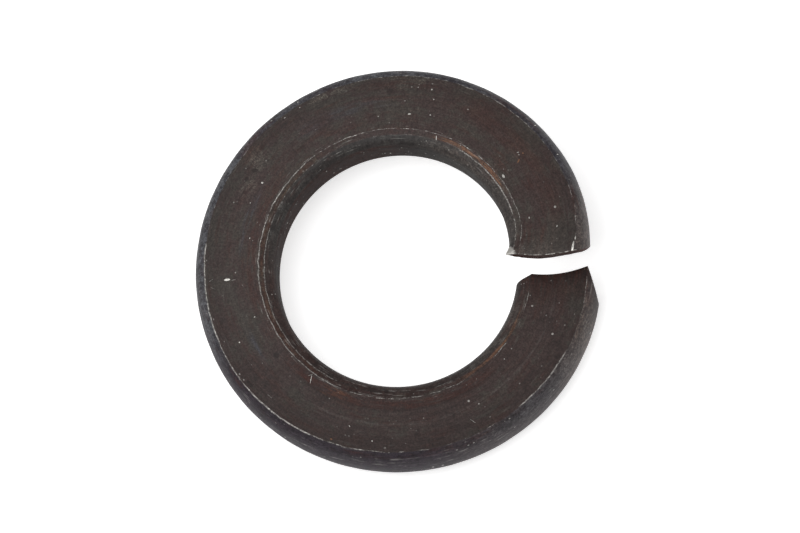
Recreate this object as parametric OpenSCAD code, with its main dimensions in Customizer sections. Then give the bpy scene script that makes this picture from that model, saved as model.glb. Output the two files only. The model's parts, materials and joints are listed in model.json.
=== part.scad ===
// Spring lock washer: one turn of spring-steel wire, coiled left-handed so that its
// sprung ends bite under a right-hand thread, then sheared off at the gap.
// The bore's axis is Z, the gap is on +X and the washer stands on Z = 0.

/* [Ring] */
// Diameter of the hole that the bolt passes through
bore_d = 12.3; // [6:0.1:24]
// Width of the wire section, measured radially
section_w = 4.2; // [3:0.1:8]
// Thickness of the wire section, measured along the bolt
section_t = 2.5; // [1.6:0.1:5]

/* [Coil] */
// How far the upper end of the turn stands above the lower end
coil_rise = 2.9; // [1:0.1:6]
// Clearance between the two ends, seen along the bolt
end_gap = 0.05; // [0.05:0.05:1]

/* [Edges] */
// Radial width of the rounded outer edge
rim_round_w = 0.53; // [0.2:0.01:0.9]
// Height of the rounded outer edge, above and below the middle of the rim
rim_round_h = 1.2; // [0.3:0.05:2.4]
// Radial width of the shallow strip between the flat face and the inner rounding
inner_strip_w = 0.28; // [0.05:0.01:0.6]
// Drop of that strip across its width
inner_strip_h = 0.12; // [0.02:0.01:0.3]
// Radial width of the inner rounding that runs down to the bore
inner_round_w = 0.53; // [0.2:0.01:0.8]
// Height of the inner rounding
inner_round_h = 0.5; // [0.2:0.01:0.6]

/* [Sheared ends] */
// Slant of the cut in plan: the outer side lies further round the turn
shear_skew = 7.5; // [0:0.5:15]
// Bow of the cut's edge across the half width of the section
shear_bow = 0.42; // [0:0.01:0.6]
// Undercut of the upper end's face, from the bolt's direction
upper_undercut = 16; // [0:1:25]
// Undercut of the lower end's face, from the bolt's direction
lower_undercut = 17; // [0:1:25]
// Slope in plan of the lower end's broken outer corner
corner_out_slope = 69; // [30:1:72]
// Slope of that corner's facet, going down
corner_down_slope = 8; // [0:1:40]
// Slope in plan of the lower end's broken inner corner
inner_corner_slope = 20; // [0:1:30]
// How far the shear drew the upper end's rim inwards
rim_draw = 0.4; // [0:0.05:0.6]
// Arc of the turn over which the rim is drawn in
rim_draw_arc = 24; // [8:1:40]

/* [Smoothness] */
// Steps round the turn
turn_steps = 90; // [48:6:120]
// Sides of the bore's circle
bore_sides = 180; // [60:12:240]

/* [Hidden] */

FULL_TURN = 360;
STEEL = [0.26, 0.235, 0.225];

bore_r = bore_d / 2;
rim_r = bore_r + section_w;
rim_line_r = rim_r - rim_round_w;
strip_r = bore_r + inner_round_w;
face_r = strip_r + inner_strip_w;
mid_r = bore_r + section_w / 2;

// A rounding stops short of the middle of its own wall.
rim_h = min(rim_round_h, section_t * 0.48);
inner_h = min(inner_round_h, section_t * 0.4 - inner_strip_h);

FACE_STEPS = 5;
RIM_STEPS = 5;
INNER_SPAN = [70, 45, 20];
BORE_STOCK = 0.35;
// Thickness of the ring of points within each cut face, as a share of the section's.
CAP_SHARE = 0.7;

// ---- the wire's section: points [radius, depth below the top face] ----

// Flat face from the strip's edge out to the rim's edge.
function face_points() =
    [for (i = [0 : FACE_STEPS]) [face_r + (rim_line_r - face_r) * i / FACE_STEPS, 0]];

// Quarter ellipse from the flat face down to the widest part of the rim.
function rim_points() =
    [for (i = [1 : RIM_STEPS])
        let (a = 90 * i / RIM_STEPS)
        [rim_line_r + rim_round_w * sin(a), rim_h * (1 - cos(a))]];

// Inner rounding from the strip down to the bore, then on into stock that the bore removes.
function inner_points() =
    let (
        top = [for (a = INNER_SPAN)
            [bore_r + inner_round_w * (1 - cos(a)) / (1 - cos(INNER_SPAN[0])),
             inner_strip_h + inner_h * (1 - sin(a) / sin(INNER_SPAN[0]))]],
        last = [bore_r, inner_strip_h + inner_h],
        before = top[len(top) - 1],
        fall = (last[1] - before[1]) / (before[0] - last[0])
    )
    concat([[bore_r - BORE_STOCK, min(last[1] + fall * BORE_STOCK, section_t * 0.49)]],
           [for (i = [len(top) - 1 : -1 : 0]) top[i]]);

// Upper half from inside to outside, then the same half mirrored along the bottom.
function section_points() =
    let (upper = concat(inner_points(), face_points(), rim_points()))
    concat(upper, [for (i = [len(upper) - 1 : -1 : 0]) [upper[i][0], section_t - upper[i][1]]]);

// ---- the sheared ends: how far round the turn the wire starts and stops ----

function shear_line(r) =
    let (u = (r - mid_r) / (section_w / 2))
    (r - mid_r) * tan(shear_skew) + shear_bow * u * u;

function upper_end(p) = end_gap / 2 + shear_line(p[0]) + p[1] * tan(upper_undercut);

// The lower end's cut face, and the facets of its broken outer and inner corners.
function lower_face(p) = -end_gap / 2 + shear_line(p[0]) - p[1] * tan(lower_undercut);

function outer_corner(p) =
    lower_face([rim_line_r, 0])
    - (p[0] - rim_line_r) * tan(corner_out_slope) - p[1] * tan(corner_down_slope);

function inner_corner(p) =
    lower_face([face_r, p[1]]) - (face_r - p[0]) * tan(inner_corner_slope);

function lower_end(p) =
    p[0] < face_r ? min(lower_face(p), inner_corner(p)) : min(lower_face(p), outer_corner(p));

// How far beyond the outer line the lower cut face meets its broken corner.
function corner_crease(depth) =
    let (line_slope = (shear_line(rim_line_r + 0.1) - shear_line(rim_line_r)) / 0.1)
    depth * (tan(lower_undercut) - tan(corner_down_slope)) / (tan(corner_out_slope) + line_slope);

// A point of the section moved in to the creases of the broken corners, for the cut faces.
function cap_place(p) =
    let (
        depth = section_t / 2 + (p[1] - section_t / 2) * CAP_SHARE,
        crease_r = rim_line_r + min(corner_crease(depth), rim_round_w / 2)
    )
    [max(face_r, min(p[0], crease_r)), depth];

function start_angle(p) = asin(upper_end(p) / p[0]);
function stop_angle(p) = FULL_TURN + asin(lower_end(p) / p[0]);

// ---- the coil ----

// Share of the full draw-in at an angle and a radius: all of it at the end's own rim.
function draw_share(angle, r) =
    pow(max(0, 1 - max(0, angle) / rim_draw_arc), 2) * pow(max(0, (r - mid_r) / (section_w / 2)), 2);

function coil_height(angle) = -coil_rise * angle / FULL_TURN;

function coil_point(p, part) =
    let (
        angle = start_angle(p) + (stop_angle(p) - start_angle(p)) * part,
        r = p[0] - rim_draw * draw_share(angle, p[0])
    )
    [r * cos(angle), r * sin(angle), coil_height(angle) - p[1]];

module wire_coil() {
    section = section_points();
    sides = len(section);
    rings = [for (k = [0 : turn_steps]) for (p = section) coil_point(p, k / turn_steps)];
    start_mid = [mid_r, section_t / 2];
    inner_rings = [for (part = [0, 1]) for (p = section) coil_point(cap_place(p), part)];
    points = concat(rings, inner_rings, [coil_point(start_mid, 0), coil_point(start_mid, 1)]);
    first_inner = len(rings);
    last_inner = first_inner + sides;
    first_cap = last_inner + sides;
    last_cap = first_cap + 1;
    last_ring = turn_steps * sides;
    skin = [for (k = [0 : turn_steps - 1]) for (i = [0 : sides - 1])
        let (j = (i + 1) % sides, a = k * sides, b = a + sides)
        each [[a + i, a + j, b + j], [a + i, b + j, b + i]]];
    first_faces = [for (i = [0 : sides - 1])
        let (j = (i + 1) % sides, a = first_inner + i, b = first_inner + j)
        each [[first_cap, b, a], [b, j, i], [b, i, a]]];
    last_faces = [for (i = [0 : sides - 1])
        let (j = (i + 1) % sides, a = last_inner + i, b = last_inner + j)
        each [[last_cap, a, b], [a, last_ring + i, last_ring + j], [a, last_ring + j, b]]];
    floor_z = min([for (p = points) p[2]]);
    translate([0, 0, -floor_z])
        polyhedron(points = points, faces = concat(skin, first_faces, last_faces), convexity = 6);
}

module lock_washer() {
    total_h = coil_rise + section_t;
    color(STEEL)
        difference() {
            wire_coil();
            translate([0, 0, -total_h])
                cylinder(d = bore_d, h = 3 * total_h, $fn = bore_sides);
        }
}

lock_washer();
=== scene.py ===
# Spring lock washer in black-oxide steel: one coiled and sheared turn of spring wire.
# The file is laid out as an add-on and is run as a script. The frame is in metres.
# The coil and the finish are worked out in millimetres and degrees, and scaled by MM at the end.
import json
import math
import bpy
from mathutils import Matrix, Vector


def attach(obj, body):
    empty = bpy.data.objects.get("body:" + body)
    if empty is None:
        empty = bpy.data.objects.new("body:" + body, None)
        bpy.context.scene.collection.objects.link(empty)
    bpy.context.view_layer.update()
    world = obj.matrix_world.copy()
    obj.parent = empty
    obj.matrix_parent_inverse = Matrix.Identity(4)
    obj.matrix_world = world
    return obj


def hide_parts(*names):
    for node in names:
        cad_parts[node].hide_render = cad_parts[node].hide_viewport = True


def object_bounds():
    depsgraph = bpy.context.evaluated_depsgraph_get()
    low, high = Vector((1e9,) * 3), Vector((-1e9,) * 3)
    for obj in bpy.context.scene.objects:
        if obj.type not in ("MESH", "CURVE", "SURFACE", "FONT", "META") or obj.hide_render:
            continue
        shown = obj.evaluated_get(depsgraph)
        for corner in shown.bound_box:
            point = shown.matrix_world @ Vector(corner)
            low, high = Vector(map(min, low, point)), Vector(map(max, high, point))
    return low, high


bl_info = {
    "name": "Spring lock washer",
    "version": (1, 0, 0),
    "blender": (4, 5, 0),
    "location": "3D View > Sidebar > Lock washer",
    "description": "Coils, shears and finishes a spring lock washer, and sets its studio stage",
    "category": "Add Mesh",
}

import bpy
import numpy as np
from bpy.props import FloatProperty, FloatVectorProperty, IntProperty, PointerProperty
from mathutils import Matrix, Vector

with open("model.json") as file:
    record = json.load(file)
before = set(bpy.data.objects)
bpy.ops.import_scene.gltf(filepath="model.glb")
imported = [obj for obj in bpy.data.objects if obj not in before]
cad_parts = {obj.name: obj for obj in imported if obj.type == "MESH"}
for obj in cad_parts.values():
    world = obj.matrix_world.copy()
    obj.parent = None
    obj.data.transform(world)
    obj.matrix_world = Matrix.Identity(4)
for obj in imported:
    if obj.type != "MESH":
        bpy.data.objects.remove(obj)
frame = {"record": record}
CAD_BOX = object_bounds()

MM = 0.001
FULL_TURN = 360.0
NODE = "lock_washer"
BODY = "root"

# Point data that the finish reads: where a point lies in the wire's section (offset from the
# bore wall, depth below the top face, degrees round the turn), and how far it lies from the
# upper end, from the lower end, and whether it is on a cut face.
SECTION_DATA = "section_place"
END_DATA = "end_place"

BORE_MOUNT = next(mount for mount in frame["record"]["mounts"] if mount["name"] == "bore")
BORE_D = 2 * BORE_MOUNT["dims"]["r_mm"] * MM
RIM_D = CAD_BOX[1].y - CAD_BOX[0].y


# ---------------------------------------------------------------- sizes and colours


class WasherSize(bpy.types.PropertyGroup):
    """Sizes of the wire, the coil and its sheared ends."""

    bore_d: FloatProperty(
        name="Bore", description="Diameter of the hole", default=BORE_D, unit="LENGTH"
    )
    rim_d: FloatProperty(
        name="Outside", description="Diameter over the rim", default=RIM_D, unit="LENGTH"
    )
    section_t: FloatProperty(
        name="Thickness", description="Wire thickness along the bolt", default=0.0025, unit="LENGTH"
    )
    coil_rise: FloatProperty(
        name="Coil rise", description="Height of the upper end over the lower", default=0.0029, unit="LENGTH"
    )
    coil_oval: FloatProperty(
        name="Out of round", description="How far the coil is from a circle", default=0.00008, unit="LENGTH"
    )
    oval_angle: FloatProperty(
        name="Narrow way",
        description="Direction in which the coil is narrowest",
        default=math.radians(31.5),
        unit="ROTATION",
    )
    end_gap: FloatProperty(
        name="End gap",
        description="Gap between the ends, seen along the bolt",
        default=0.00005,
        unit="LENGTH",
    )
    shear_skew: FloatProperty(
        name="Shear skew", description="Slant of the cut in plan", default=math.radians(7.5), unit="ROTATION"
    )
    shear_bow: FloatProperty(
        name="Shear bow", description="Bow of the cut's edge", default=0.00042, unit="LENGTH"
    )
    upper_bow: FloatProperty(
        name="Upper bow",
        description="Bow of the upper end's edge beyond mid width",
        default=0.00018,
        unit="LENGTH",
    )
    upper_undercut: FloatProperty(
        name="Upper undercut",
        description="Lean of the upper end's cut face",
        default=math.radians(16),
        unit="ROTATION",
    )
    lower_undercut: FloatProperty(
        name="Lower undercut",
        description="Lean of the lower end's cut face",
        default=math.radians(17),
        unit="ROTATION",
    )
    corner_out_slope: FloatProperty(
        name="Corner slope outward",
        description="Slope of the lower end's broken corner in plan",
        default=math.radians(69),
        unit="ROTATION",
    )
    corner_down_slope: FloatProperty(
        name="Corner slope down",
        description="Slope of the lower end's broken corner along the bolt",
        default=math.radians(8),
        unit="ROTATION",
    )
    inner_corner_slope: FloatProperty(
        name="Inner corner slope",
        description="Slope of the lower end's broken inner corner in plan",
        default=math.radians(20),
        unit="ROTATION",
    )
    undercut_twist: FloatProperty(
        name="Undercut twist",
        description="How much more the upper cut leans at the rim than at mid width",
        default=math.radians(2.5),
        unit="ROTATION",
    )
    rings: IntProperty(name="Rings", description="Mesh rings round the turn", default=860, min=60)
    seed: IntProperty(name="Seed", description="Seed of the small irregularities", default=12)


class WasherFinish(bpy.types.PropertyGroup):
    """Colours of the steel's finish, and of its painted shade and painted rim highlight."""

    oxide: FloatVectorProperty(
        name="Oxide",
        description="Black oxide on the faces",
        subtype="COLOR",
        size=3,
        default=(0.047, 0.030, 0.0275),
    )
    green_oxide: FloatVectorProperty(
        name="Grey-green oxide",
        description="Cooler patches of the oxide",
        subtype="COLOR",
        size=3,
        default=(0.0385, 0.0312, 0.0268),
    )
    # Dark oxide patches, and also the colour of the painted shade near the lower end and on the cut faces.
    dark_oxide_and_shade: FloatVectorProperty(
        name="Dark oxide",
        description="Darkest patches",
        subtype="COLOR",
        size=3,
        default=(0.016, 0.010, 0.009),
    )
    blue_oxide: FloatVectorProperty(
        name="Blue oxide",
        description="Tempered tint on the rim",
        subtype="COLOR",
        size=3,
        default=(0.0240, 0.0188, 0.0262),
    )
    red_stain: FloatVectorProperty(
        name="Red-brown stain",
        description="Thin rust",
        subtype="COLOR",
        size=3,
        default=(0.047, 0.016, 0.012),
    )
    handled: FloatVectorProperty(
        name="Handled steel",
        description="Rubbed, speckled rim",
        subtype="COLOR",
        size=3,
        default=(0.072, 0.058, 0.051),
    )
    inner_oxide: FloatVectorProperty(
        name="Inner oxide",
        description="Cold tint on the inner rounding",
        subtype="COLOR",
        size=3,
        default=(0.029, 0.0275, 0.0265),
    )
    pale_oxide: FloatVectorProperty(
        name="Pale oxide",
        description="Where the oxide is rubbed thin",
        subtype="COLOR",
        size=3,
        default=(0.120, 0.105, 0.088),
    )
    # Painted highlight colour: the pale band that stands in for the overhead light's reflection on the rim's
    # upper rounding.
    rim_highlight_grey: FloatVectorProperty(
        name="Blue-grey oxide",
        description="Pale band on the rim beside the outer line",
        subtype="COLOR",
        size=3,
        default=(0.0645, 0.066, 0.072),
    )
    tempered: FloatVectorProperty(
        name="Tempered blue",
        description="Faint blue temper marks",
        subtype="COLOR",
        size=3,
        default=(0.040, 0.042, 0.055),
    )
    orange_stain: FloatVectorProperty(
        name="Orange stain",
        description="Fresh rust",
        subtype="COLOR",
        size=3,
        default=(0.170, 0.080, 0.043),
    )
    bare_steel: FloatVectorProperty(
        name="Bare steel",
        description="Where the oxide has worn off",
        subtype="COLOR",
        size=3,
        default=(0.52, 0.50, 0.47),
    )


class StageSetup(bpy.types.PropertyGroup):
    """Where the camera stands and how bright the studio is."""

    azimuth: FloatProperty(
        name="Azimuth",
        description="Camera direction round the bolt's axis",
        default=math.radians(26.15),
        unit="ROTATION",
    )
    elevation: FloatProperty(
        name="Elevation",
        description="Angle at which the camera looks down on the floor",
        default=math.radians(69.55),
        unit="ROTATION",
    )
    roll: FloatProperty(
        name="Gap turn",
        description="Turn of the gap in the view",
        default=math.radians(3.15),
        unit="ROTATION",
    )
    distance: FloatProperty(
        name="Distance", description="From the camera to the washer", default=0.508, unit="LENGTH"
    )
    lens_mm: FloatProperty(name="Lens", description="Focal length in millimetres", default=450.0)
    side_shift: FloatProperty(
        name="Aim right", description="How far right the camera aims", default=0.00037, unit="LENGTH"
    )
    down_shift: FloatProperty(
        name="Aim down", description="How far down the camera aims", default=0.00018, unit="LENGTH"
    )
    floor_colour: FloatVectorProperty(
        name="Floor",
        description="Colour of the plain floor",
        subtype="COLOR",
        size=3,
        default=(0.88, 0.88, 0.88),
    )
    floor_glow: FloatProperty(
        name="Floor glow", description="Light that the backlit floor gives off", default=0.60, min=0.0
    )


# ---------------------------------------------------------------- wire section

INNER_ROUND_W, INNER_ROUND_H, INNER_ROUND_ARC = 0.53, 0.50, 70.0
STRIP_W, STRIP_H = 0.28, 0.12
RIM_ROUND_W, RIM_ROUND_H = 0.53, 1.20
RIDGE_SOFTNESS = 0.03
WALL_STEPS, INNER_STEPS, STRIP_STEPS, FACE_STEPS, RIM_STEPS = 4, 9, 4, 20, 12

STRIP_AT = INNER_ROUND_W
FACE_AT = INNER_ROUND_W + STRIP_W


def upper_outline(width, thick):
    """Upper half of the section from the bore wall's middle to the rim's widest part, as
    (offset, depth). The flat runs sit between ridges that are kept sharp by close points."""
    wall_top = STRIP_H + INNER_ROUND_H
    line_at = width - RIM_ROUND_W
    points = [(0.0, thick / 2 + (wall_top - thick / 2) * i / WALL_STEPS) for i in range(WALL_STEPS)]
    for i in range(INNER_STEPS):
        a = math.radians(INNER_ROUND_ARC * i / INNER_STEPS)
        arc = math.radians(INNER_ROUND_ARC)
        out = INNER_ROUND_W * (1 - math.cos(a)) / (1 - math.cos(arc))
        points.append((out, STRIP_H + INNER_ROUND_H * (1 - math.sin(a) / math.sin(arc))))
    runs = ((STRIP_AT, STRIP_H, FACE_AT, 0.0, STRIP_STEPS), (FACE_AT, 0.0, line_at, 0.0, FACE_STEPS))
    for from_at, from_depth, to_at, to_depth, steps in runs:
        soft = RIDGE_SOFTNESS / (to_at - from_at)
        for f in (0.0, soft, *np.linspace(soft, 1 - soft, steps)[1:]):
            points.append((from_at + (to_at - from_at) * f, from_depth + (to_depth - from_depth) * f))
    for i in range(RIM_STEPS):
        a = math.pi / 2 * i / RIM_STEPS
        points.append((line_at + RIM_ROUND_W * math.sin(a), RIM_ROUND_H * (1 - math.cos(a))))
    points.append((width, RIM_ROUND_H))
    return points


def section_outline(width, thick):
    """The closed outline of the section, in mm."""
    upper = upper_outline(width, thick)
    lower = [(offset, thick - depth) for offset, depth in reversed(upper[1:])]
    return np.array(upper + lower)


# ---------------------------------------------------------------- coil and sheared ends


def smooth(low, high, value):
    """0 at low, 1 at high, and a smooth step between. Low may be above high."""
    f = np.clip((value - low) / (high - low), 0, 1)
    return f * f * (3 - 2 * f)


def ripple(rng, angle, waves, size):
    """A smooth seeded wander round the turn, about that size, made of waves of so many a turn."""
    total = np.zeros_like(angle)
    for turns in waves:
        pace = turns * rng.uniform(0.85, 1.15)
        total += np.sin(np.radians(angle) * pace + rng.uniform(0, 2 * math.pi))
    return total * size / math.sqrt(len(waves))


# How far the upper end's outer corner is rounded back, and over what width, in mm.
UPPER_CORNER, UPPER_CORNER_W = 0.22, 0.50


class Coil:
    """The coil's true form in mm, from the sizes that a user sets."""

    def __init__(self, size):
        self.bore_r = size.bore_d / 2 / MM
        self.width = (size.rim_d - size.bore_d) / 2 / MM
        self.thick = size.section_t / MM
        self.rise = size.coil_rise / MM
        self.half_gap = size.end_gap / 2 / MM
        self.mid_r = self.bore_r + self.width / 2
        self.line_at = self.width - RIM_ROUND_W
        self.size = size

    def shear_line(self, r, outer_bow=None):
        """Where the cut runs in plan. Its bow beyond mid width may differ from the bow within."""
        u = (r - self.mid_r) / (self.width / 2)
        bow = np.where(u < 0, self.size.shear_bow, outer_bow or self.size.shear_bow) / MM
        return (r - self.mid_r) * math.tan(self.size.shear_skew) + bow * u * u

    def upper_end(self, r, depth):
        """How far past the gap's middle the upper end's cut lies, along the wire."""
        u = (r - self.mid_r) / (self.width / 2)
        lean = self.size.upper_undercut + self.size.undercut_twist * u
        to_rim = self.bore_r + self.width - r
        worn_corner = UPPER_CORNER * np.clip(1 - to_rim / UPPER_CORNER_W, 0, 1) ** 2
        return self.half_gap + self.shear_line(r, self.size.upper_bow) + depth * np.tan(lean) + worn_corner

    def upper_cut(self, offset, depth):
        return self.upper_end(self.bore_r + offset, depth)

    def lower_end(self, r, depth):
        """The same for the lower end, with its broken outer and inner corners."""
        line_r = self.bore_r + self.line_at
        face = self.shear_line(r) - depth * math.tan(self.size.lower_undercut)
        out_fall = (r - line_r) * math.tan(self.size.corner_out_slope)
        down_fall = depth * math.tan(self.size.corner_down_slope)
        corner = self.shear_line(line_r) - out_fall - down_fall
        face_r = self.bore_r + FACE_AT
        inner_fall = (face_r - r) * math.tan(self.size.inner_corner_slope)
        inner = self.shear_line(face_r) - inner_fall - depth * math.tan(self.size.lower_undercut)
        face = np.where(r < face_r, np.minimum(face, inner), face)
        return np.minimum(face, corner) - self.half_gap

    def lower_cut(self, offset, depth):
        return self.lower_end(self.bore_r + offset, depth)

    def start_angle(self, r, depth):
        return np.degrees(np.arcsin(self.upper_end(r, depth) / r))

    def stop_angle(self, r, depth):
        return FULL_TURN + np.degrees(np.arcsin(self.lower_end(r, depth) / r))

    def top_height(self, angle):
        return -self.rise * angle / FULL_TURN

    def oval(self, angle):
        return -self.size.coil_oval / MM * np.cos(2 * (np.radians(angle) - self.size.oval_angle))


# How much closer the rings stand at an end, and over what share of the turn.
END_CROWDING, END_REACH = 0.78, 0.012


def ring_shares(count):
    """Shares of the turn for the rings, crowded together near the two sheared ends."""
    even = np.linspace(0, 1, count)
    to_end = np.minimum(even, 1 - even)
    pace = 1 - END_CROWDING * np.exp(-to_end / END_REACH)
    travelled = np.concatenate(([0], np.cumsum((pace[1:] + pace[:-1]) / 2)))
    return travelled / travelled[-1]


# How far the shear drew each ridge inwards at the upper end, in mm, over how many degrees, and
# the power by which that fades.
STRIP_DRAW = (0.30, 15.0, 1.2)
LINE_DRAW = (0.33, 14.0, 1.1)
RIM_DRAW = (0.18, 25.0, 1.5)


def ridge_draw(from_start, draw, arc, power):
    return draw * np.clip(1 - from_start / arc, 0, 1) ** power


def end_draw(coil, offset, from_start):
    """How far the shear drew the section inwards near the upper end, in mm."""
    strip, line, rim = (ridge_draw(from_start, *draw) for draw in (STRIP_DRAW, LINE_DRAW, RIM_DRAW))
    inner_share = np.clip(offset / STRIP_AT, 0, 1)
    face_share = np.clip((offset - FACE_AT) / (coil.line_at - FACE_AT), 0, 1)
    rim_share = np.clip((offset - coil.line_at) / RIM_ROUND_W, 0, 1)
    pulled = strip * inner_share
    pulled += (line - strip) * face_share
    return pulled + (rim - line) * rim_share


# Stretches where the outer line lies off its place: from, to (degrees round the turn), mm outward.
LINE_SHIFTS = ((75, 215, -0.08), (300, 350, 0.05))
LINE_SHIFT_FADE = 30

# Seeded wander of the ridges: how many waves a turn, and about what size in mm.
RIM_WANDER = ((5, 9, 14, 23, 41), 0.006)
LINE_WANDER = ((7, 13, 29, 61, 97), 0.011)
STRIP_WANDER = ((6, 11, 27, 53, 89), 0.012)
# Waves along the bolt over the faces: the same, how they lean, and how they run across the wire.
FACE_WAVE = ((3, 7, 12, 19), 0.006)
FACE_WAVE_LEAN = ((4, 9), 0.8)
FACE_WAVE_ACROSS, FACE_WAVE_SHARE = 2.3, 0.6
# How far across the wire a ridge takes its neighbours with it, in mm.
RIM_REACH, LINE_REACH, STRIP_REACH = 0.35, 0.18, 0.16


def rolling_marks(coil, rng, offset, depth, angle):
    """How the rolled wire strays from its true section: radially at its ridges, and along the bolt
    over its faces, in mm."""
    once = angle[:, :1]
    rim_wander, line_wander, strip_wander, face_wave, lean = (
        ripple(rng, once, *given)
        for given in (RIM_WANDER, LINE_WANDER, STRIP_WANDER, FACE_WAVE, FACE_WAVE_LEAN)
    )
    for start, stop, outward in LINE_SHIFTS:
        begun = smooth(start, start + LINE_SHIFT_FADE, once)
        line_wander = line_wander + outward * begun * smooth(stop, stop - LINE_SHIFT_FADE, once)
    near_rim = np.exp(-(((offset - coil.width) / RIM_REACH) ** 2))
    near_line = np.exp(-(((offset - coil.line_at) / LINE_REACH) ** 2))
    near_strip = np.exp(-(((offset - FACE_AT) / STRIP_REACH) ** 2))
    radial = near_rim * rim_wander + near_line * line_wander + near_strip * strip_wander
    upper = np.where(depth < coil.thick / 2, 1, -1)
    return radial, upper * face_wave * np.sin(offset * FACE_WAVE_ACROSS + lean) * FACE_WAVE_SHARE


# How far a cut's top edge rolls over, how far from the cut that reaches, and how deep, in mm.
ROLL_OVER, ROLL_OVER_REACH, ROLL_OVER_DEPTH = 0.045, 0.13, 0.9


def roll_over(depth, distance):
    """How far a sheared edge's top is dragged down near the cut, in mm."""
    return ROLL_OVER * np.exp(-distance / ROLL_OVER_REACH) * smooth(ROLL_OVER_DEPTH, 0.0, depth)


# The burr's offset and depth, its reach across, down and along the wire, and how far it stands
# into the bore and past the cut, in mm.
BURR_AT = (0.22, 0.28)
BURR_REACH = (0.44, 0.36, 0.28)
BURR_OUT, BURR_PAST = 0.24, 0.12


def burr_share(offset, depth, from_upper):
    """1 at the burr on the upper end's inner corner, falling to 0 round it."""
    parts = (offset - BURR_AT[0], depth - BURR_AT[1], from_upper)
    return np.exp(-sum((part / reach) ** 2 for part, reach in zip(parts, BURR_REACH)))


def coil_points(coil, rng, outline, shares):
    """Every ring's points in mm, with the section place and the end place of each."""
    offset = np.broadcast_to(outline[:, 0], (len(shares), len(outline)))
    depth = np.broadcast_to(outline[:, 1], offset.shape)
    nominal_r = coil.bore_r + offset
    drawn_r = nominal_r - end_draw(coil, offset, 0.0)
    start, stop = coil.start_angle(drawn_r, depth), coil.stop_angle(nominal_r, depth)
    angle = start + (stop - start) * shares[:, None]
    from_upper = np.radians(angle - start) * nominal_r
    from_lower = np.radians(stop - angle) * nominal_r
    radial, down = rolling_marks(coil, rng, offset, depth, angle)
    r = nominal_r + radial + coil.oval(angle) - end_draw(coil, offset, angle - start)
    burr = burr_share(offset, depth, from_upper)
    r = r - BURR_OUT * burr
    turn = np.radians(angle) - BURR_PAST * burr / nominal_r
    down = down + roll_over(depth, from_upper) + roll_over(depth, from_lower)
    z = coil.top_height(angle) - depth - down
    points = np.stack([r * np.cos(turn), r * np.sin(turn), z], axis=-1)
    section_place = np.stack([offset, depth, angle], axis=-1)
    end_place = np.stack([from_upper, from_lower, np.zeros_like(angle)], axis=-1)
    return points, section_place, end_place


# Sizes of the rings that close an end, as shares of the section's outline.
CAP_SHARES = (0.955, 0.90, 0.84, 0.78, 0.73, 0.66, 0.58, 0.46, 0.34, 0.22, 0.11)
# Height of a cut face's torn grain in mm, how many waves make it, and their pace along X, Y and Z.
TORN_GRAIN, TORN_WAVES, TORN_PACE = 0.012, 14, (5.0, 5.0, 2.5)


def torn_grain(rng, points):
    """Gives a sheared face its torn grain, along the wire."""
    waves = np.zeros(len(points))
    for _ in range(TORN_WAVES):
        direction = rng.normal(size=3) * TORN_PACE
        waves += np.sin(points @ direction + rng.uniform(0, 2 * math.pi))
    points[:, 1] += TORN_GRAIN * waves / math.sqrt(TORN_WAVES)


class MeshParts:
    """Points, their data and the faces of a mesh that is being built."""

    def __init__(self):
        self.points, self.section_place, self.end_place, self.faces = [], [], [], []
        self.count = 0

    def add(self, points, section_place, end_place):
        """Adds points and returns the number of the first."""
        first = self.count
        self.points.append(points)
        self.section_place.append(section_place)
        self.end_place.append(end_place)
        self.count += len(points)
        return first

    def band(self, first, second, sides):
        """Joins two closed rings of points."""
        for i in range(sides):
            j = (i + 1) % sides
            self.faces.append((first + i, second + i, second + j, first + j))

    def cap(self, rng, ring, points, section_place, end_place, cut_at, outward):
        """Closes an end with rings that shrink to the section's middle and lie on the true cut, which
        cut_at gives from an offset and a depth."""
        sides = len(points)
        on_cut = end_place + (0.0, 0.0, 1.0)
        middle, place_middle = points.mean(axis=0), section_place.mean(axis=0)
        edge_cut = cut_at(section_place[:, 0], section_place[:, 1])
        before = ring
        for share in CAP_SHARES:
            inner = middle + (points - middle) * share
            place = place_middle + (section_place - place_middle) * share
            straight_cut = edge_cut.mean() + (edge_cut - edge_cut.mean()) * share
            inner[:, 1] += cut_at(place[:, 0], place[:, 1]) - straight_cut
            torn_grain(rng, inner)
            after = self.add(inner, place, on_cut)
            self.band(*((after, before) if outward else (before, after)), sides)
            before = after
        middle[1] += cut_at(*place_middle[:2]) - edge_cut.mean()
        tip = self.add(middle[None], place_middle[None], on_cut[:1])
        for i in range(sides):
            j = (i + 1) % sides
            self.faces.append((before + i, before + j, tip) if outward else (before + j, before + i, tip))

    def mesh(self, name):
        points = np.concatenate(self.points)
        points[:, 2] -= points[:, 2].min()
        mesh = bpy.data.meshes.new(name)
        mesh.from_pydata((points * MM).tolist(), [], self.faces)
        for layer_name, parts in ((SECTION_DATA, self.section_place), (END_DATA, self.end_place)):
            layer = mesh.attributes.new(layer_name, "FLOAT_VECTOR", "POINT")
            layer.data.foreach_set("vector", np.concatenate(parts).astype(np.float32).ravel())
        mesh.shade_smooth()
        return mesh


def washer_mesh(size):
    """The whole washer as one closed mesh."""
    rng = np.random.default_rng(size.seed)
    coil = Coil(size)
    outline = section_outline(coil.width, coil.thick)
    sides = len(outline)
    points, section_place, end_place = coil_points(coil, rng, outline, ring_shares(size.rings))
    parts = MeshParts()
    for ring in zip(points, section_place, end_place):
        parts.add(*ring)
    for k in range(size.rings - 1):
        parts.band(k * sides, (k + 1) * sides, sides)
    parts.cap(rng, 0, points[0], section_place[0], end_place[0], coil.upper_cut, True)
    last_ring = (size.rings - 1) * sides
    parts.cap(rng, last_ring, points[-1], section_place[-1], end_place[-1], coil.lower_cut, False)
    return parts.mesh("lock_washer_steel")


# ---------------------------------------------------------------- finish: nodes and places


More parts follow.
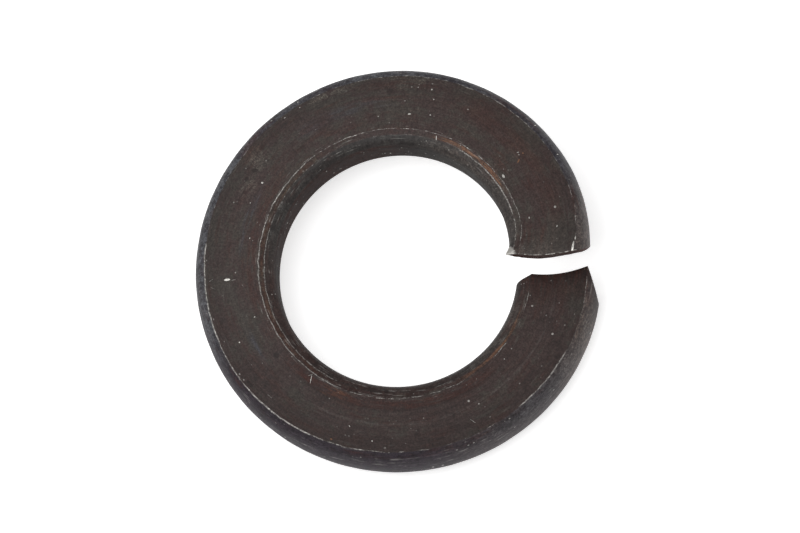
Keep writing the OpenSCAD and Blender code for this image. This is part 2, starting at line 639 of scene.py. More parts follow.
class Nodes:
    """Short ways to add shader nodes to one material."""

    def __init__(self, material):
        self.tree = material.node_tree
        self.tree.nodes.clear()

    def add(self, kind, **settings):
        node = self.tree.nodes.new(kind)
        for key, value in settings.items():
            setattr(node, key, value)
        return node

    def feed(self, socket, value):
        if isinstance(value, bpy.types.NodeSocket):
            self.tree.links.new(value, socket)
        else:
            socket.default_value = value

    def math(self, operation, first, second=0.0):
        node = self.add("ShaderNodeMath", operation=operation)
        self.feed(node.inputs[0], first)
        self.feed(node.inputs[1], second)
        return node.outputs[0]

    def chain(self, operation, values):
        result = values[0]
        for value in values[1:]:
            result = self.math(operation, result, value)
        return result

    def product(self, *values):
        return self.chain("MULTIPLY", values)

    def total(self, *values):
        return self.chain("ADD", values)

    def most(self, *values):
        return self.chain("MAXIMUM", values)

    def rest(self, share):
        """What a share leaves of 1."""
        return self.math("SUBTRACT", 1.0, share)

    def apart(self, value, centre):
        """How far a value is from a centre."""
        return self.math("ABSOLUTE", self.math("SUBTRACT", value, centre))

    def swing(self, noise, size):
        """A noise moved to swing about 0, and scaled."""
        return self.product(self.math("SUBTRACT", noise, 0.5), size)

    def step(self, value, low, high, to_low=0.0, to_high=1.0):
        """A smooth step from to_low, at low, to to_high, at high. Low may be above high."""
        falling = not isinstance(low, bpy.types.NodeSocket) and low > high
        node = self.add("ShaderNodeMapRange", interpolation_type="SMOOTHSTEP")
        limits = (high, low, to_high, to_low) if falling else (low, high, to_low, to_high)
        for name, given in zip(("Value", "From Min", "From Max", "To Min", "To Max"), (value, *limits)):
            self.feed(node.inputs[name], given)
        return node.outputs["Result"]

    def within(self, value, low, high, fade):
        """1 while value is between low and high, with soft sides."""
        rising = self.step(value, low - fade, low + fade)
        return self.product(rising, self.step(value, high + fade, high - fade))

    def join(self, x, y, z):
        node = self.add("ShaderNodeCombineXYZ")
        for socket, value in zip(node.inputs, (x, y, z)):
            self.feed(socket, value)
        return node.outputs[0]

    def split(self, vector):
        node = self.add("ShaderNodeSeparateXYZ")
        self.tree.links.new(vector, node.inputs[0])
        return node.outputs

    def noise(self, place, scale, detail=3.0, roughness=0.55, distortion=0.0):
        node = self.add("ShaderNodeTexNoise")
        self.feed(node.inputs["Vector"], place)
        for name, value in (("Scale", scale), ("Detail", detail), ("Roughness", roughness)):
            node.inputs[name].default_value = value
        node.inputs["Distortion"].default_value = distortion
        return node.outputs["Fac"]

    def cells(self, place, scale):
        """Scattered cells: how far from a cell's seed, and three random values for each cell."""
        node = self.add("ShaderNodeTexVoronoi")
        self.feed(node.inputs["Vector"], place)
        node.inputs["Scale"].default_value = scale
        parts = self.add("ShaderNodeSeparateColor")
        self.tree.links.new(node.outputs["Color"], parts.inputs[0])
        return node.outputs["Distance"], parts.outputs

    def blend(self, share, first, second, mode="MIX"):
        node = self.add("ShaderNodeMix", data_type="RGBA", blend_type=mode)
        self.feed(node.inputs[0], share)
        for socket, value in ((node.inputs[6], first), (node.inputs[7], second)):
            self.feed(socket, value if isinstance(value, bpy.types.NodeSocket) else (*value, 1.0))
        return node.outputs[2]

    def grey(self, value):
        """A grey of that brightness, to multiply a colour by."""
        node = self.add("ShaderNodeCombineColor")
        for socket in node.inputs:
            self.feed(socket, value)
        return node.outputs[0]


# The underside's ridges wear as the top's do, this many degrees further round.
UNDERSIDE_TURN = 140.0


class WirePlace:
    """Where the shaded point is on the wire, in mm and degrees, and how far it is in each zone of
    the section."""

    def __init__(self, n, coil):
        section = n.add("ShaderNodeAttribute", attribute_name=SECTION_DATA)
        ends = n.add("ShaderNodeAttribute", attribute_name=END_DATA)
        self.offset, self.depth, self.angle = n.split(section.outputs["Vector"])
        self.from_upper, self.from_lower, self.on_cut = n.split(ends.outputs["Vector"])
        self.along = n.product(self.angle, math.radians(coil.mid_r))
        self.wire = n.join(self.offset, self.depth, self.along)
        self.down = n.math("MINIMUM", self.depth, n.math("SUBTRACT", coil.thick, self.depth))
        self.top = n.step(self.depth, coil.thick * 0.5, coil.thick * 0.45)
        self.skin = n.rest(self.on_cut)
        turned = n.product(n.rest(self.top), UNDERSIDE_TURN)
        self.worn_angle = n.math("MODULO", n.total(self.angle, turned), FULL_TURN)
        self.shoulder = n.step(self.offset, coil.line_at - 0.01, coil.line_at + 0.03)
        self.inner_round = n.step(self.offset, STRIP_AT + 0.02, STRIP_AT - 0.04)
        self.wall = n.product(n.step(self.offset, 0.16, 0.02), n.step(self.down, 0.35, 0.62), self.skin)

    def stretched(self, n, across, along):
        """The wire's place scaled across its section and along its length."""
        scaled = [n.product(value, across) for value in (self.offset, self.depth)]
        return n.join(*scaled, n.product(self.along, along))


class OxideNoise:
    """The noises that the whole finish shares, from broad clouds to fine grain."""

    def __init__(self, n, place):
        self.mottle = n.noise(place.wire, 1.9, 6.0, 0.66, 0.4)
        self.cloud = n.noise(place.stretched(n, 0.75, 0.42), 1.0, 3.0, 0.5)
        self.fine = n.noise(place.stretched(n, 4.6, 3.8), 1.0, 4.0, 0.7)
        self.grain = n.noise(place.wire, 10.0, 3.0, 0.8)
        self.drawn = n.noise(place.stretched(n, 6.0, 0.6), 1.0, 5.0, 0.65)
        self.rubbed = n.noise(place.stretched(n, 1.6, 8.0), 1.0, 3.0, 0.6)
        self.speckled = n.step(n.total(self.fine, n.product(self.grain, 0.6)), 0.68, 0.96)


def round_turn(n, place, stretches):
    """How far the point is in the strongest of several stretches, each of them from, to and fade
    in degrees round the turn, and its share."""
    found = 0.0
    for start, stop, fade, share in stretches:
        found = n.most(found, n.product(n.within(place.angle, start, stop, fade), share))
    return found


def in_patches(n, place, patches):
    """The same for patches, which also have from, to and fade across the wire, in mm."""
    found = 0.0
    for start, stop, fade, inner, outer, soft, share in patches:
        across = n.within(place.offset, inner, outer, soft)
        found = n.most(found, n.product(n.within(place.angle, start, stop, fade), across, share))
    return found


# ---------------------------------------------------------------- finish: bare metal

# Stretches of each ridge that have worn bright: from, to (degrees round the turn), how worn.
OUTER_LINE_WEAR = (
    (-2, 43, 0.40), (43, 62, 0.54), (62, 122, 0.40), (122, 175, 0.30), (176, 204, 0.80), (204, 226, 0.66),
    (226, 246, 0.92), (246, 265, 0.62), (265, 303, 0.38), (314, 333, 0.72), (348, 357, 0.46),
)
FACE_LINE_WEAR = (
    (3, 60, 0.55), (60, 92, 0.50), (92, 128, 0.54), (128, 142, 0.66), (142, 154, 0.86), (154, 176, 0.78),
    (176, 200, 0.92), (200, 245, 0.80), (245, 303, 0.62), (320, 326, 0.6), (345, 350, 0.6),
)
STRIP_LINE_WEAR = (
    (2, 24, 0.55), (24, 44, 0.85), (44, 60, 0.66), (60, 120, 0.28), (122, 165, 0.42), (165, 246, 0.62),
    (246, 300, 0.25),
)
FACE_ARC_WEAR = ((244, 350, 0.62),)
FACE_ARC_AT, FACE_ARC_SHARE = 2.2, 0.085
WEAR_FADE = 2.0

# Half widths of the bright lines in mm.
OUTER_LINE_W, FACE_LINE_W, STRIP_LINE_W, FACE_ARC_W = 0.044, 0.034, 0.038, 0.100
RIDGE_WANDER = 0.11


def wear_by_angle(n, place, stretches):
    """How worn a ridge is at each place round the turn."""
    worn = 0.0
    for start, stop, much in stretches:
        stretch = n.within(place.worn_angle, start - WEAR_FADE, stop + WEAR_FADE, WEAR_FADE)
        worn = n.most(worn, n.product(stretch, much))
    return worn


def worn_ridge(n, place, at, half_width, stretches, pace, seed):
    """A bright broken line along a ridge of the section. A quicker pace breaks it more often."""
    wander = n.swing(n.noise(n.join(seed, 0.0, place.along), 1.4), RIDGE_WANDER)
    apart = n.apart(n.total(place.offset, wander), at)
    broken = n.noise(n.join(n.product(place.offset, 3.0), seed, place.along), pace, 5.0, 0.70)
    glint = n.noise(n.join(n.product(place.offset, 2.0), seed, place.along), pace * 3.3, 3.0, 0.7)
    dots = n.noise(place.wire, 9.0, 2.0, 0.7)
    cover = n.total(n.product(wear_by_angle(n, place, stretches), 0.52), broken, -0.73)
    wide = n.product(n.step(cover, -0.10, 0.25, 0.35, 1.15), half_width)
    line = n.step(apart, n.product(wide, 0.35), wide, 1.0, 0.0)
    shine = n.product(
        n.step(cover, -0.05, 0.18), n.step(glint, 0.38, 0.60, 0.24, 1.0), n.step(dots, 0.36, 0.56, 0.45, 1.0)
    )
    return n.product(line, shine, n.step(place.down, 0.30, 0.16), place.skin)


# Where the scratches along the wire lie: beside the inner ridges, and more so over this stretch.
SCRATCHED_BAND = (0.16, 1.05, 0.10)
SCRATCHED_STRETCH = (96, 300, 14.0)


def long_scratches(n, place):
    """Fine bright scratches along the wire, beside its inner ridges and over its rim."""
    hair = n.step(n.noise(place.stretched(n, 13.0, 0.75), 1.0, 3.0, 0.6), 0.55, 0.66)
    patchy = n.step(n.noise(place.stretched(n, 2.0, 1.6), 1.0, 3.0, 0.6), 0.44, 0.62)
    beside_ridges = n.within(place.offset, *SCRATCHED_BAND)
    where = n.most(
        n.product(beside_ridges, n.within(place.angle, *SCRATCHED_STRETCH), 0.42),
        n.product(beside_ridges, 0.18),
        n.product(n.step(place.depth, 0.06, 0.14), n.step(place.offset, 3.75, 3.85), 0.30),
        0.05,
    )
    return n.product(hair, patchy, where, n.step(place.down, 1.25, 0.95), place.skin)


# The washer's plainest nicks: degrees round the turn, offset, half its size across the wire and
# along it, how far it leans, and how bright it is.
NICKS = (
    (2.6, 3.60, 0.060, 0.36, 0.0, 1.0), (5.6, 3.66, 0.035, 0.10, 0.0, 0.7),
    (186.3, 2.44, 0.17, 0.065, 0.0, 1.0), (186.6, 2.12, 0.16, 0.014, 0.1, 0.42),
    (186.0, 3.28, 0.15, 0.016, 0.55, 0.40), (188.6, 3.22, 0.15, 0.016, -0.6, 0.34),
    (37.4, 1.00, 0.060, 0.115, 0.2, 1.0), (15.9, 1.28, 0.04, 0.06, 0.2, 0.6),
    (10.4, 2.66, 0.035, 0.065, 0.5, 0.6), (41.6, 2.34, 0.055, 0.035, -0.4, 0.6),
    (78.3, 2.56, 0.035, 0.030, 0.0, 0.7), (78.0, 1.70, 0.035, 0.040, 0.0, 0.8),
    (86.0, 1.60, 0.045, 0.085, -0.5, 0.9), (72.8, 0.62, 0.12, 0.030, 0.3, 0.6),
    (202.4, 1.47, 0.045, 0.035, 0.3, 0.75), (208.8, 2.70, 0.04, 0.04, 0.0, 0.7),
    (237.2, 1.16, 0.26, 0.017, 0.45, 0.6), (236.0, 0.98, 0.16, 0.014, -0.7, 0.45),
    (229.6, 3.15, 0.016, 0.20, -0.35, 0.34), (266.0, 3.12, 0.04, 0.035, 0.2, 0.65),
    (257.8, 2.55, 0.045, 0.04, 0.6, 0.5), (298.6, 2.98, 0.20, 0.016, 0.5, 0.45),
    (321.0, 1.28, 0.035, 0.03, 0.0, 0.6), (45.2, 3.95, 0.05, 0.03, 0.0, 0.8),
    (33.5, 3.90, 0.05, 0.03, 0.0, 0.7), (122.4, 3.50, 0.04, 0.03, 0.0, 0.7),
    (127.9, 3.48, 0.03, 0.05, 0.0, 0.55), (170.4, 1.40, 0.03, 0.05, 0.0, 0.5),
    (157.4, 1.95, 0.03, 0.04, 0.0, 0.5),
)

# Dark stains and orange flecks, given in the same way.
STAINS = (
    (220.2, 1.48, 0.16, 0.17, 0.0, 0.75), (222.3, 3.44, 0.12, 0.26, 0.0, 0.6),
    (146.6, 2.60, 0.16, 0.14, 0.3, 0.8), (150.5, 2.72, 0.12, 0.16, 0.0, 0.7),
    (154.7, 2.46, 0.12, 0.12, 0.0, 0.55), (93.3, 2.80, 0.22, 0.22, 0.0, 0.5),
    (139.3, 3.08, 0.16, 0.18, 0.0, 0.5),
)
RUST_FLECKS = (
    (253.5, 3.48, 0.06, 0.07, 0.2, 0.9), (38.9, 2.08, 0.11, 0.045, 0.5, 0.7),
    (40.2, 2.50, 0.05, 0.05, 0.0, 0.5),
)
MARK_ROUGHNESS, STAIN_ROUGHNESS = 0.9, 3.0


def mark(n, place, coil, angle, at, half_across, half_along, lean, share):
    """One oval mark on the top face or the rim's shoulder, strongest in its middle."""
    across = n.math("SUBTRACT", place.offset, at)
    along = n.product(n.math("SUBTRACT", place.angle, angle), math.radians(coil.bore_r + at))
    along = n.math("SUBTRACT", along, n.product(across, lean))
    reach = n.total(square_share(n, across, half_across), square_share(n, along, half_along))
    return n.product(n.step(reach, 1.3, 0.35), share)


def square_share(n, length, half_size):
    """The square of a length's share of a half size."""
    return n.math("POWER", n.math("ABSOLUTE", n.math("DIVIDE", length, half_size)), 2.0)


def marks_on_face(n, place, coil, marks, noise, roughness=MARK_ROUGHNESS):
    """All the marks of one list. The noise makes their outlines ragged."""
    found = 0.0
    for given in marks:
        found = n.most(found, mark(n, place, coil, *given))
    ragged = n.total(found, n.swing(noise, roughness))
    return n.product(n.step(ragged, 0.10, 0.62), n.step(found, 0.0, 0.5))


def specks(n, place):
    """Fine bright specks where the oxide is chipped, thick in some patches and rare in others."""
    patch = n.noise(place.wire, 0.9, 2.0)
    far, random = n.cells(place.wire, 2.6)
    chosen = n.step(n.total(random[0], n.swing(patch, 0.5)), 0.90, 0.94)
    spot = n.step(n.math("SUBTRACT", far, n.product(random[1], 0.09)), 0.10, 0.03)
    large = n.product(spot, chosen, n.step(random[2], 0.0, 1.0, 0.25, 0.95))
    fine_far, fine_random = n.cells(place.stretched(n, 1.0, 0.8), 6.5)
    fine = n.product(n.step(fine_far, 0.30, 0.12), n.step(fine_random[0], 0.86, 0.93))
    fine = n.product(fine, n.step(patch, 0.46, 0.66), 0.55)
    return n.product(n.most(large, fine), place.skin)


def burr_metal(n, place, noise):
    """The bare, torn metal of the burr on the upper end's inner corner."""
    places = (place.offset, place.depth, place.from_upper)
    reach = n.swing(noise.grain, 2.0)
    for value, centre, burr_reach in zip(places, (*BURR_AT, 0.0), BURR_REACH):
        reach = n.total(reach, square_share(n, n.math("SUBTRACT", value, centre), burr_reach))
    return n.product(n.step(reach, 1.9, 1.1), place.top, n.step(place.on_cut, 0.9, 0.5))


def bare_metal(n, place, coil, noise):
    """Shares of bare metal: all of it, and the nicks, specks and burr alone, which are also dents."""
    ridges = n.most(
        worn_ridge(n, place, coil.line_at, OUTER_LINE_W, OUTER_LINE_WEAR, 3.1, 3.0),
        worn_ridge(n, place, FACE_AT, FACE_LINE_W, FACE_LINE_WEAR, 2.6, 11.0),
        worn_ridge(n, place, STRIP_AT, STRIP_LINE_W, STRIP_LINE_WEAR, 3.4, 23.0),
        n.product(worn_ridge(n, place, FACE_ARC_AT, FACE_ARC_W, FACE_ARC_WEAR, 2.0, 31.0), FACE_ARC_SHARE),
        long_scratches(n, place),
    )
    upper_edge = n.product(
        n.step(place.from_upper, 0.06, 0.015), n.step(place.down, 0.07, 0.02), n.step(place.on_cut, 0.6, 0.2),
        n.step(n.noise(place.wire, 5.0, 3.0, 0.7), 0.40, 0.62), place.top, 0.7,
    )
    nicked = marks_on_face(n, place, coil, NICKS, noise.grain)
    nicked = n.product(nicked, n.step(place.down, 0.9, 0.5), place.top, place.skin)
    flecks = n.most(nicked, specks(n, place), burr_metal(n, place, noise))
    return n.most(n.product(ridges, 0.82), upper_edge, flecks), flecks


# ---------------------------------------------------------------- finish: oxide, rust and painted light

# Stretches round the turn: from, to and fade in degrees, and where it is more than one, a share.
BROWNER_STRETCH, BROWNER_SHARE = (204, 352, 20.0), 0.11
GREENER_STRETCH, GREENER_SHARE = (-6, 8, 5.0), 0.16
# DIM_FACE is painted shade: the top face is painted darker over this stretch of the turn, where the lamps
# light it less.
DIM_FACE, DIM_FACE_SHARE = (226, 308, 14.0), 0.10
DULL_RIM = (186, 304, 18.0)
LOWER_END_RIM = (324, 362, 16.0)
HANDLED_RIM = ((*LOWER_END_RIM, 1.0), (-5, 24, 8.0, 0.95), (292, 326, 14.0, 0.40))
HANDLED_INNER_ROUND = ((6, 76, 10.0, 0.5), (310, 352, 8.0, 0.5))
# Painted highlight: over these stretches the rim's upper rounding is painted pale blue-grey, standing in for
# the overhead light's reflection.
RIM_HIGHLIGHT = (
    (16, 56, 12.0, 0.45), (56, 76, 8.0, 0.75), (76, 112, 10.0, 1.0), (112, 136, 10.0, 0.78),
    (136, 208, 12.0, 1.0), (302, 332, 12.0, 0.45),
)
ORANGE_STRIP = ((34, 72, 6.0, 1.0), (312, 330, 3.0, 0.9), (300, 342, 5.0, 0.45), (122, 244, 8.0, 0.22))
RED_BESIDE_STRIP = ((143, 200, 7.0, 0.60), (226, 262, 8.0, 0.95), (262, 314, 7.0, 0.80))
RED_INNER_ROUND, RED_WALL = (176, 300, 16.0), (88, 180, 14.0)

# Patches on the top face: from, to and fade in degrees, the same across the wire in mm, a share.
HAZE_PATCHES = (
    (106, 118, 3.0, 3.25, 3.60, 0.12, 0.85), (76, 88, 5.0, 3.25, 3.60, 0.12, 0.5),
    (140, 147, 2.5, 2.40, 3.30, 0.20, 0.6), (150, 156, 2.0, 2.10, 2.70, 0.15, 0.6),
    (88, 96, 4.0, 2.90, 3.60, 0.2, 0.35),
)
TEMPERED_PATCHES = (
    (152, 175, 5.0, 1.60, 1.90, 0.12, 1.0), (207, 218, 3.0, 1.90, 2.20, 0.10, 1.0),
    (96, 128, 8.0, 1.90, 2.50, 0.20, 0.6),
)
DARK_BESIDE_RUST = ((232, 312, 10.0, 1.34, 1.50, 0.06, 1.0),)
RUDDY_PATCHES = ((14, 72, 12.0, 2.1, 3.3, 0.35, 0.5),)
HOT_RUST_PATCHES = ((243, 253, 3.0, 0.94, 1.42, 0.10, 0.42),)
RUST_BAND = (0.94, 1.42, 0.10)


def rust_shares(n, place):
    """Shares of red-brown and of orange rust: along the inner strip, beside it on the face, at the
    lower end, inside the bore and on the cut faces."""
    streaks = n.noise(place.stretched(n, 7.0, 0.9), 1.0, 5.0, 0.65)
    flow = n.noise(place.stretched(n, 1.7, 0.42), 1.0, 5.0, 0.62)
    streaky = n.step(streaks, 0.36, 0.56)
    strip = n.within(place.offset, STRIP_AT + 0.06, FACE_AT - 0.06, 0.04)
    orange = n.product(strip, round_turn(n, place, ORANGE_STRIP), n.step(streaks, 0.34, 0.58), 0.82)
    hot = n.product(in_patches(n, place, HOT_RUST_PATCHES), n.step(streaks, 0.44, 0.62))
    beside = n.product(n.within(place.offset, *RUST_BAND), round_turn(n, place, RED_BESIDE_STRIP), streaky)
    on_face = n.most(
        beside,
        n.product(n.step(flow, 0.47, 0.64), n.step(streaks, 0.36, 0.58), 0.50),
        n.product(n.step(place.from_lower, 2.4, 0.2), streaky, 0.55),
        n.product(in_patches(n, place, RUDDY_PATCHES), n.step(flow, 0.34, 0.60)),
    )
    inside = n.most(
        n.product(n.step(place.offset, FACE_AT, 0.3), n.within(place.angle, *RED_INNER_ROUND), 0.50),
        n.product(n.step(place.offset, 0.10, 0.0), n.within(place.angle, *RED_WALL), 0.85),
    )
    inside = n.product(inside, n.step(streaks, 0.32, 0.62, 0.35, 1.0))
    red = n.product(n.most(n.product(on_face, n.step(place.down, 0.35, 0.10)), inside), place.skin)
    return n.most(red, n.product(place.on_cut, 0.75)), n.product(n.most(orange, hot), place.top, place.skin)


def zone_colour(n, place, noise, finish, browner):
    """The oxide's colour in each zone: brown and grey-green face, cold rim and inner rounding, and
    the stretches that are rubbed by handling, with a painted highlight on the rim's upper rounding."""
    green_end = n.product(n.within(place.angle, *GREENER_STRETCH), GREENER_SHARE)
    cooler = n.total(
        noise.mottle, n.swing(noise.cloud, 1.1), n.product(noise.fine, 0.6), n.product(noise.drawn, 0.7),
        -0.65, n.product(browner, -1.0), green_end,
    )
    colour = n.blend(n.step(cooler, 0.38, 0.62), finish.oxide, finish.green_oxide)
    colour = n.blend(n.product(place.shoulder, place.skin, 0.88), colour, finish.blue_oxide)
    colour = n.blend(n.product(place.inner_round, place.skin, 0.80), colour, finish.inner_oxide)
    handled = n.most(
        n.product(place.shoulder, round_turn(n, place, HANDLED_RIM)),
        n.product(place.inner_round, round_turn(n, place, HANDLED_INNER_ROUND)),
        n.product(n.step(place.from_upper, 1.3, 0.1), n.step(place.down, 0.2, 0.05), 0.40),
    )
    handled = n.product(handled, n.step(noise.speckled, 0.0, 1.0, 0.62, 1.0), place.skin)
    colour = n.blend(handled, colour, finish.handled)
    # Painted highlight: the rim's upper rounding turned pale blue-grey, broken by speckle.
    pale = n.product(round_turn(n, place, RIM_HIGHLIGHT), place.shoulder, n.step(place.depth, 1.15, 0.25))
    pale = n.product(pale, n.step(noise.speckled, 0.0, 1.0, 0.45, 1.0), place.skin)
    return n.blend(pale, colour, finish.rim_highlight_grey)


def patch_colour(n, place, coil, noise, finish, colour):
    """Lays haze, temper marks, dark patches, painted shade, rust and flecks over a colour."""
    hazy = n.product(in_patches(n, place, HAZE_PATCHES), n.step(noise.mottle, 0.36, 0.58), place.top)
    hazy = n.product(hazy, n.step(noise.grain, 0.36, 0.62), place.skin)
    colour = n.blend(hazy, colour, finish.pale_oxide)
    tempered = n.product(in_patches(n, place, TEMPERED_PATCHES), n.step(noise.drawn, 0.40, 0.62), place.top)
    colour = n.blend(n.product(tempered, 0.55), colour, finish.tempered)
    dark = n.step(n.noise(place.stretched(n, 1.2, 0.8), 1.9, 4.0, 0.6), 0.56, 0.76)
    beside_rust = n.product(in_patches(n, place, DARK_BESIDE_RUST), n.step(noise.drawn, 0.36, 0.54))
    stained = marks_on_face(n, place, coil, STAINS, noise.fine, STAIN_ROUGHNESS)
    stained = n.product(stained, n.step(noise.grain, 0.30, 0.60, 0.4, 1.0))
    shaded = n.most(
        # Painted shade: the from_lower term darkens the top near the lower end, where the upper end overhangs
        # it.
        n.product(dark, 0.6), n.product(n.step(place.from_lower, 2.2, 0.1), 0.80),
        # Partly painted shade: the undercut cut faces are darkened as if in shadow, over their own red-brown
        # colour.
        n.product(place.on_cut, 0.85), n.product(beside_rust, place.top, 0.6),
        n.product(stained, place.top, 0.9),
    )
    colour = n.blend(shaded, colour, finish.dark_oxide_and_shade)
    red, orange = rust_shares(n, place)
    colour = n.blend(red, colour, finish.red_stain)
    orange = n.most(orange, n.product(marks_on_face(n, place, coil, RUST_FLECKS, noise.grain), place.top))
    return n.blend(orange, colour, finish.orange_stain)


def oxide_tone_and_painted_shade(n, place, noise, browner, dull_rim):
    """How light or dark the oxide is: its grain and streaks, and the face darker beside the rim; with painted
    shade in the bore and over one stretch of the face.
    """
    face_side = n.rest(place.shoulder)
    beside_line = n.product(n.step(place.offset, 2.3, 3.3), face_side, 0.19)
    dim_face = n.product(n.within(place.angle, *DIM_FACE), face_side, DIM_FACE_SHARE)
    lower_end_rim = n.product(place.shoulder, n.within(place.angle, *LOWER_END_RIM))
    return n.product(
        n.step(noise.grain, 0.28, 0.72, 0.54, 1.50), n.step(noise.drawn, 0.30, 0.70, 0.84, 1.16),
        n.step(noise.rubbed, 0.30, 0.70, 0.92, 1.08), n.step(noise.mottle, 0.30, 0.70, 0.84, 1.18),
        n.step(noise.fine, 0.30, 0.70, 0.78, 1.22), n.step(noise.cloud, 0.35, 0.65, 0.90, 1.10),
        # Painted shade: the middle of the bore wall is made 45% darker, as shade inside the hole.
        n.rest(n.product(place.wall, 0.45)), n.math("SUBTRACT", 1.06, browner),
        n.step(n.product(dull_rim, place.depth), 0.10, 0.90, 0.96, 1.02),
        # n.rest(dim_face) is painted shade on the top face over DIM_FACE's stretch.
        n.math("SUBTRACT", 1.03, beside_line), n.rest(dim_face),
        n.step(lower_end_rim, 0.0, 1.0, 1.0, 1.30),
    )


BUMP_STRENGTH, BUMP_HEIGHT = 0.8, 0.012
STEEL_IOR, OXIDE_SPECULAR = 1.5, 0.25


def surface_bump(n, noise, flecks):
    """Grain, drawing marks and rubbing stand up, and flecks are dents."""
    height = n.total(
        n.product(noise.grain, 0.55), n.product(noise.drawn, 0.9), n.product(noise.rubbed, 0.7),
        n.product(noise.mottle, 0.6), n.product(flecks, -1.6),
    )
    bump = n.add("ShaderNodeBump")
    bump.inputs["Strength"].default_value = BUMP_STRENGTH
    bump.inputs["Distance"].default_value = BUMP_HEIGHT * MM
    n.feed(bump.inputs["Height"], height)
    return bump.outputs["Normal"]


def black_oxide(size, finish):
    """Worn black oxide: mottled, streaked along and across the wire, rubbed bright on its ridges, with
    painted shade and a painted rim highlight.
    """
    material = bpy.data.materials.new("Worn black oxide steel")
    material.use_nodes = True
    n = Nodes(material)
    coil = Coil(size)
    place = WirePlace(n, coil)
    noise = OxideNoise(n, place)
    browner = n.product(n.within(place.angle, *BROWNER_STRETCH), BROWNER_SHARE)
    dull_rim = n.product(place.shoulder, n.within(place.angle, *DULL_RIM))

    colour = zone_colour(n, place, noise, finish, browner)
    colour = patch_colour(n, place, coil, noise, finish, colour)
    shade = oxide_tone_and_painted_shade(n, place, noise, browner, dull_rim)
    colour = n.blend(1.0, colour, n.grey(shade), "MULTIPLY")
    bare, flecks = bare_metal(n, place, coil, noise)
    colour = n.blend(bare, colour, finish.bare_steel)

    dull = n.most(place.wall, place.on_cut, n.product(place.shoulder, 0.3), n.product(dull_rim, 0.5))
    matt = n.total(n.step(noise.mottle, 0.3, 0.7, 0.46, 0.60), n.product(dull, 0.30), n.product(bare, -0.12))
    shader = n.add("ShaderNodeBsdfPrincipled")
    shader.inputs["IOR"].default_value = STEEL_IOR
    shader.inputs["Specular IOR Level"].default_value = OXIDE_SPECULAR
    n.feed(shader.inputs["Base Color"], colour)
    n.feed(shader.inputs["Metallic"], n.product(bare, 0.8))
    n.feed(shader.inputs["Roughness"], matt)
    n.feed(shader.inputs["Normal"], surface_bump(n, noise, flecks))
    out = n.add("ShaderNodeOutputMaterial")
    n.tree.links.new(shader.outputs[0], out.inputs["Surface"])
    return material


# ---------------------------------------------------------------- stage


FLOOR_HALF = 1.2
FLOOR_ROUGHNESS, FLOOR_SPECULAR = 0.9, 0.2
WORLD_LIGHT = 0.30
SENSOR_W_MM = 36.0
CAMERA_SEES = (0.01, 5.0)
# Softboxes: name, place, width, height and power.
SOFTBOXES = (
    ("overhead_softbox", (-0.10, -0.08, 0.45), 0.34, 0.34, 1.35),
    ("right_softbox", (0.45, 0.10, 0.20), 0.35, 0.25, 0.30),
    ("left_softbox", (-0.45, 0.05, 0.22), 0.35, 0.25, 0.40),
)


def add_softbox(scene, name, place, width, height, power):
    """An area light aimed at the washer, and not seen by the camera."""
    lamp = bpy.data.lights.new(name, "AREA")
    lamp.shape = "RECTANGLE"
    lamp.size, lamp.size_y, lamp.energy = width, height, power
    holder = bpy.data.objects.new(name, lamp)
    aim = (-Vector(place)).to_track_quat("-Z", "Y").to_matrix().to_4x4()
    holder.matrix_world = Matrix.Translation(place) @ aim
    holder.visible_camera = False
    scene.collection.objects.link(holder)


def add_world(scene):
    """An even white light from all round."""
    world = bpy.data.worlds.new("studio")
    world.use_nodes = True
    background = world.node_tree.nodes["Background"]
    background.inputs["Color"].default_value = (1, 1, 1, 1)
    background.inputs["Strength"].default_value = WORLD_LIGHT
    scene.world = world


def add_floor(scene, setup):
    """A plain floor that gives off a little light of its own."""
    mesh = bpy.data.meshes.new("studio_floor")
    corners = [(x * FLOOR_HALF, y * FLOOR_HALF, 0.0) for x, y in ((-1, -1), (1, -1), (1, 1), (-1, 1))]
    mesh.from_pydata(corners, [], [(0, 1, 2, 3)])
    material = bpy.data.materials.new("Studio floor")
    material.use_nodes = True
    shader = material.node_tree.nodes["Principled BSDF"]
    shader.inputs["Base Color"].default_value = (*setup.floor_colour, 1)
    shader.inputs["Roughness"].default_value = FLOOR_ROUGHNESS
    shader.inputs["Specular IOR Level"].default_value = FLOOR_SPECULAR
    shader.inputs["Emission Color"].default_value = (1, 1, 1, 1)
    shader.inputs["Emission Strength"].default_value = setup.floor_glow
    mesh.materials.append(material)
    floor = bpy.data.objects.new("studio_floor", mesh)
    scene.collection.objects.link(floor)


def add_camera(scene, setup):
    """A long lens that looks down at the washer with the gap on its right."""
    az, el, roll = setup.azimuth, setup.elevation, setup.roll
    back = Vector((math.sin(az) * math.cos(el), -math.cos(az) * math.cos(el), math.sin(el)))
    right = Vector((-math.sin(roll), math.cos(roll), 0)).cross(back).normalized()
    up = back.cross(right)
    middle = Vector((0, 0, CAD_BOX[1].z - scene.washer_size.coil_rise / 2))
    aim = middle + right * setup.side_shift - up * setup.down_shift
    data = bpy.data.cameras.new("studio_camera")
    data.lens, data.sensor_width = setup.lens_mm, SENSOR_W_MM
    data.clip_start, data.clip_end = CAMERA_SEES
    camera = bpy.data.objects.new("studio_camera", data)
    turn = Matrix((right, up, back)).transposed().to_4x4()
    camera.matrix_world = Matrix.Translation(aim + back * setup.distance) @ turn
    scene.collection.objects.link(camera)
    scene.camera = camera


# ---------------------------------------------------------------- operators


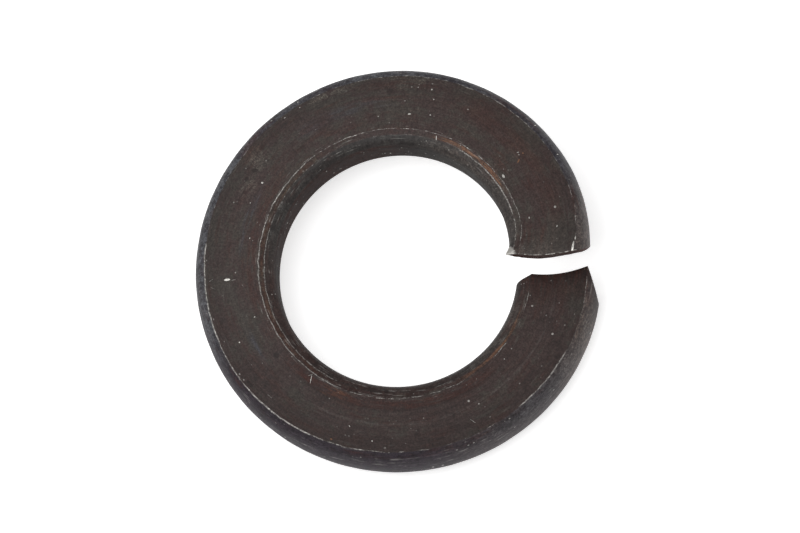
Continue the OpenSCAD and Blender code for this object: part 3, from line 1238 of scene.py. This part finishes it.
class LockWasherCoil(bpy.types.Operator):
    """Coils and shears the washer's wire, gives it its finish and mounts it on the frame"""

    bl_idname = "mesh.lock_washer_coil"
    bl_label = "Coil the lock washer"

    def execute(self, context):
        scene = context.scene
        mesh = washer_mesh(scene.washer_size)
        mesh.materials.append(black_oxide(scene.washer_size, scene.washer_finish))
        piece = bpy.data.objects.new("lock_washer_steel", mesh)
        scene.collection.objects.link(piece)
        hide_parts(NODE)
        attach(piece, BODY)
        return {"FINISHED"}


class LockWasherStage(bpy.types.Operator):
    """Sets the pale floor, the soft lights and the camera"""

    bl_idname = "mesh.lock_washer_stage"
    bl_label = "Set the stage"

    def execute(self, context):
        scene = context.scene
        setup = scene.washer_stage
        add_floor(scene, setup)
        for softbox in SOFTBOXES:
            add_softbox(scene, *softbox)
        add_world(scene)
        scene.view_settings.view_transform = "Standard"
        add_camera(scene, setup)
        return {"FINISHED"}


class LockWasherPanel(bpy.types.Panel):
    """Lists the washer's sizes, finish and stage, and the steps that make it"""

    bl_idname = "VIEW3D_PT_lock_washer"
    bl_label = "Lock washer"
    bl_space_type = "VIEW_3D"
    bl_region_type = "UI"
    bl_category = "Lock washer"

    def draw(self, context):
        for group_name, group in GROUPS.items():
            box = self.layout.box()
            for name in group.__annotations__:
                box.prop(getattr(context.scene, group_name), name)
        for step in STEPS:
            self.layout.operator(step.bl_idname)


GROUPS = {"washer_size": WasherSize, "washer_finish": WasherFinish, "washer_stage": StageSetup}
STEPS = (LockWasherCoil, LockWasherStage)
CLASSES = (*GROUPS.values(), *STEPS, LockWasherPanel)


def register():
    for cls in CLASSES:
        bpy.utils.register_class(cls)
    for name, group in GROUPS.items():
        setattr(bpy.types.Scene, name, PointerProperty(type=group))


def unregister():
    for name in GROUPS:
        delattr(bpy.types.Scene, name)
    for cls in reversed(CLASSES):
        bpy.utils.unregister_class(cls)


def main():
    register()
    bpy.ops.mesh.lock_washer_coil()
    bpy.ops.mesh.lock_washer_stage()


if __name__ == "__main__":
    main()
